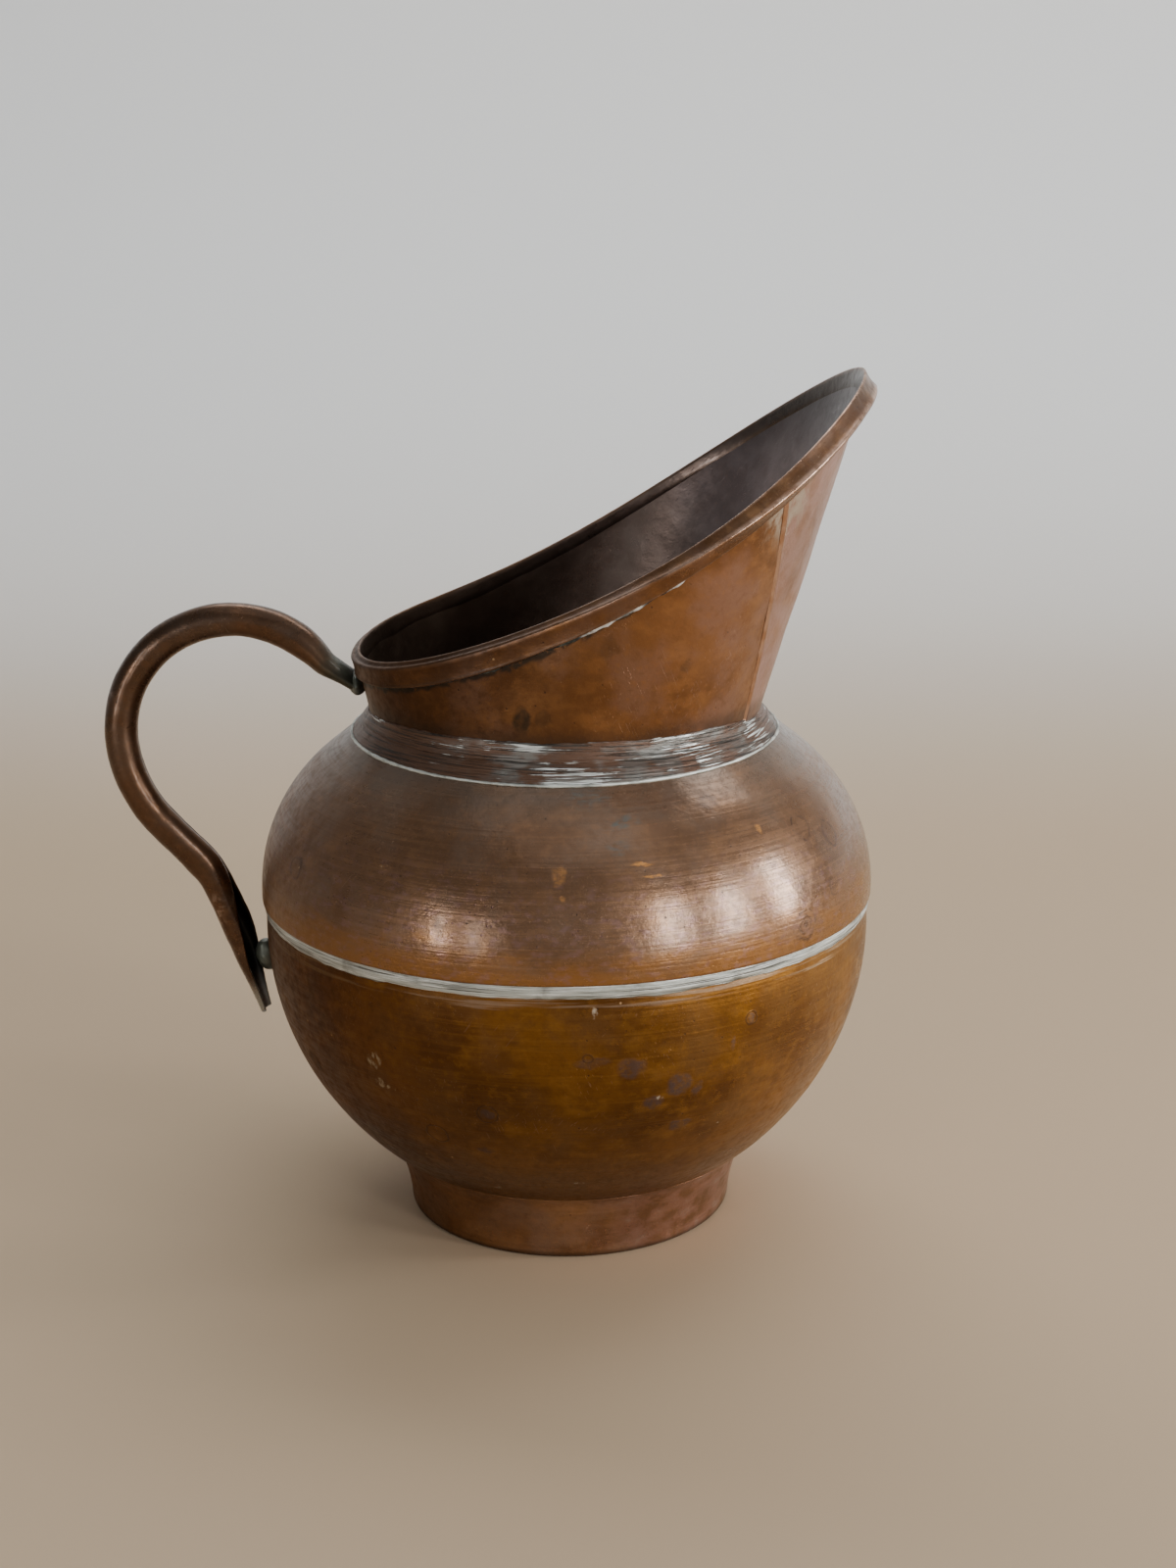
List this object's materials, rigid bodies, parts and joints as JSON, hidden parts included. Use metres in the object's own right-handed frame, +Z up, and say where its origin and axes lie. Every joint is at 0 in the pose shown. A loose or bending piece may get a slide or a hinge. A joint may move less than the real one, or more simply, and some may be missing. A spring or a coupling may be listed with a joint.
{
  "type": "copper water jug",
  "caption": "Hand-made copper water jug: round belly soldered from a bowl and a dome, tapered foot, slanted funnel neck with a wired rim and pouring lip, and a hooked tube handle.",
  "frame": {"origin": "centre of the foot ring on the surface the jug stands on", "axes": "+Z up; +X towards the pouring lip, with the handle at -X; Y = 0 is the plane of symmetry"},
  "size_m": [0.2254, 0.1808, 0.2504],
  "materials": {
    "copper_belly": "aged, satin",
    "copper_neck": "aged, satin",
    "copper_rim": "aged, edge worn bright",
    "copper_handle": "aged, handled",
    "copper_foot": "aged, satin",
    "solder": "dull, streaked tin solder",
    "brazing": "dull brazed seam",
    "iron_wire": "plain iron wire, hidden in the rim"
  },
  "bodies": {
    "root": {"lower_bowl": "copper_belly", "upper_bowl": "copper_belly", "belly_seam_solder": "solder", "foot_ring": "copper_foot", "foot_solder": "solder", "neck_collar": "copper_neck", "collar_lower_solder": "solder", "collar_upper_solder": "solder", "neck_funnel": "copper_neck", "neck_seam_solder": "brazing", "rim_binding": "copper_rim", "rim_wire": "iron_wire", "rim_solder": "solder", "handle_tube": "copper_handle", "handle_top_solder": "solder", "handle_foot_solder": "solder"}
  },
  "joints": []
}
